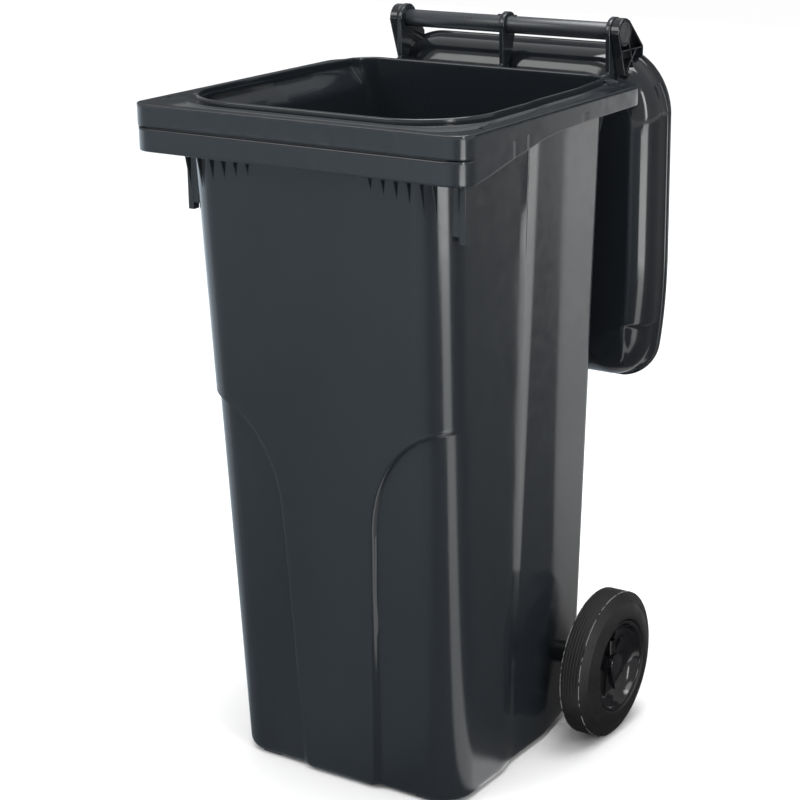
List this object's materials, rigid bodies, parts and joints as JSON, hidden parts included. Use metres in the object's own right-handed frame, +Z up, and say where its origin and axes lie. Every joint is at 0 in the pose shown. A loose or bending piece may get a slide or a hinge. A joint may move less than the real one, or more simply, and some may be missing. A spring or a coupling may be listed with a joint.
{
  "type": "wheelie bin",
  "caption": "Two-wheeled refuse bin with a lifting comb rim, arched front, tube handle, solid-tyred wheels on a steel axle and a hinged lid hanging open behind the body.",
  "frame": {"origin": "on the ground, under the middle of the whole bin with its lid hanging open", "axes": "+X across the bin to its right, along the axle; +Y from the front to the back; +Z up"},
  "size_m": [0.488, 0.5454, 0.95],
  "materials": {
    "body_plastic": "injection-moulded HDPE, anthracite, satin gloss",
    "lid_plastic": "injection-moulded HDPE, anthracite, gloss",
    "handle_plastic": "extruded tube, dull",
    "pin_plastic": "moulded nylon",
    "plug_plastic": "sealed plug",
    "rim_plastic": "moulded polypropylene, black",
    "tyre_rubber": "solid rubber",
    "axle_steel": "zinc plated",
    "spring_steel": "spring wire"
  },
  "bodies": {
    "bin": {"bin_body": "body_plastic", "handle_bar": "handle_plastic", "hinge_pin_right": "pin_plastic", "hinge_pin_left": "pin_plastic", "axle": "axle_steel", "transponder_plug": "plug_plastic", "wheel_spacer_right": "rim_plastic", "wheel_spacer_left": "rim_plastic"},
    "lid": {"lid": "lid_plastic"},
    "wheel_right": {"wheel_rim_right": "rim_plastic", "tyre_right": "tyre_rubber", "hub_cap_right": "rim_plastic", "lock_spring_right": "spring_steel"},
    "wheel_left": {"wheel_rim_left": "rim_plastic", "tyre_left": "tyre_rubber", "hub_cap_left": "rim_plastic", "lock_spring_left": "spring_steel"},
    "lock_right": {"lock_pin_right": "pin_plastic"},
    "lock_left": {"lock_pin_left": "pin_plastic"}
  },
  "joints": [
    {"name": "lid_hinge", "type": "hinge", "parent": "bin", "child": "lid", "pos_m": [0, 0.22075, 0.931], "axis": [1, 0, 0], "range_deg": [0, 270]},
    {"name": "wheel_spin_right", "type": "hinge", "parent": "bin", "child": "wheel_right", "pos_m": [0, 0.11525, 0.1], "axis": [1, 0, 0], "continuous": true},
    {"name": "wheel_spin_left", "type": "hinge", "parent": "bin", "child": "wheel_left", "pos_m": [0, 0.11525, 0.1], "axis": [1, 0, 0], "continuous": true},
    {"name": "lock_pin_slide_right", "type": "slide", "parent": "wheel_right", "child": "lock_right", "axis": [0, 0, 1], "range_m": [0, 0.0023], "stiffness_N_per_m": 300, "springref_m": -0.002, "deforming": ["lock_spring_right"]},
    {"name": "lock_pin_slide_left", "type": "slide", "parent": "wheel_left", "child": "lock_left", "axis": [0, 0, 1], "range_m": [0, 0.0023], "stiffness_N_per_m": 300, "springref_m": -0.002, "deforming": ["lock_spring_left"]}
  ]
}
